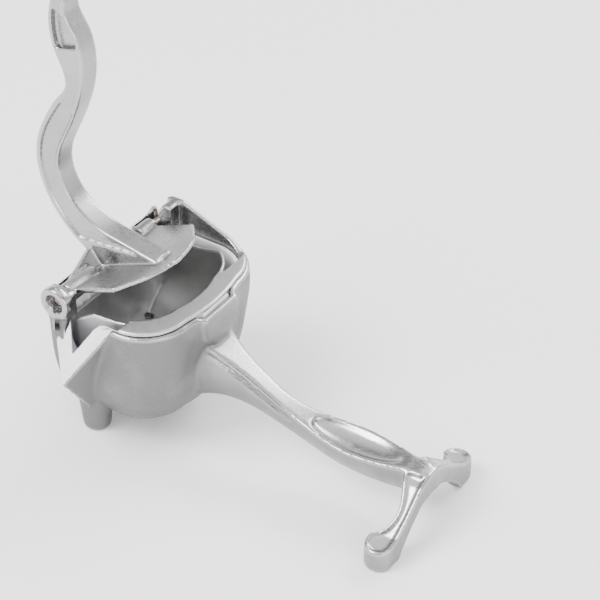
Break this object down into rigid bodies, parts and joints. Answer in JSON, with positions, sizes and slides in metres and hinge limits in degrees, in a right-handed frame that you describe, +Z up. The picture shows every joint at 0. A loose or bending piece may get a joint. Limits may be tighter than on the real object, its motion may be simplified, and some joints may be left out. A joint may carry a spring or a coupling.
{
  "type": "hand fruit press",
  "caption": "Hand fruit press: a cast cup with a handle, a lift-out strainer, a plastic liner with a pouring lip, and a hinged pressing lever.",
  "frame": {"origin": "middle of the whole press's footprint on the table, with the lever fully open", "axes": "+X from the hinge towards the handle's feet, +Y along the hinge line away from the pouring lip, +Z up"},
  "size_m": [0.2644, 0.1266, 0.2623],
  "materials": {
    "blasted_casting": "fine blasted cast aluminium alloy, brighter on worn edges",
    "polished_casting": "hand-polished cast aluminium alloy",
    "satin_casting": "satin cast aluminium alloy",
    "liner_plastic": "frosted polypropylene",
    "dark_steel": "turned steel",
    "pin_steel": "turned and oiled steel"
  },
  "bodies": {
    "base": {"press_body": "blasted_casting", "hinge_bush": "dark_steel", "cup_liner": "liner_plastic", "strainer_cup": "satin_casting"},
    "lever": {"press_lever": "polished_casting", "fixed_pin": "pin_steel", "plunger_collar": "dark_steel", "plunger_spring": "pin_steel"},
    "plunger": {"plunger_pin": "pin_steel"}
  },
  "joints": [
    {"name": "lever_hinge", "type": "hinge", "parent": "base", "child": "lever", "pos_m": [-0.0884, 0.00765, 0.093], "axis": [0, -1, 0], "range_deg": [-83, 0]},
    {"name": "plunger_slide", "type": "slide", "parent": "lever", "child": "plunger", "axis": [0, 1, 0], "range_m": [0, 0.007], "stiffness_N_per_m": 350, "springref_m": -0.008, "deforming": ["plunger_spring"]}
  ]
}
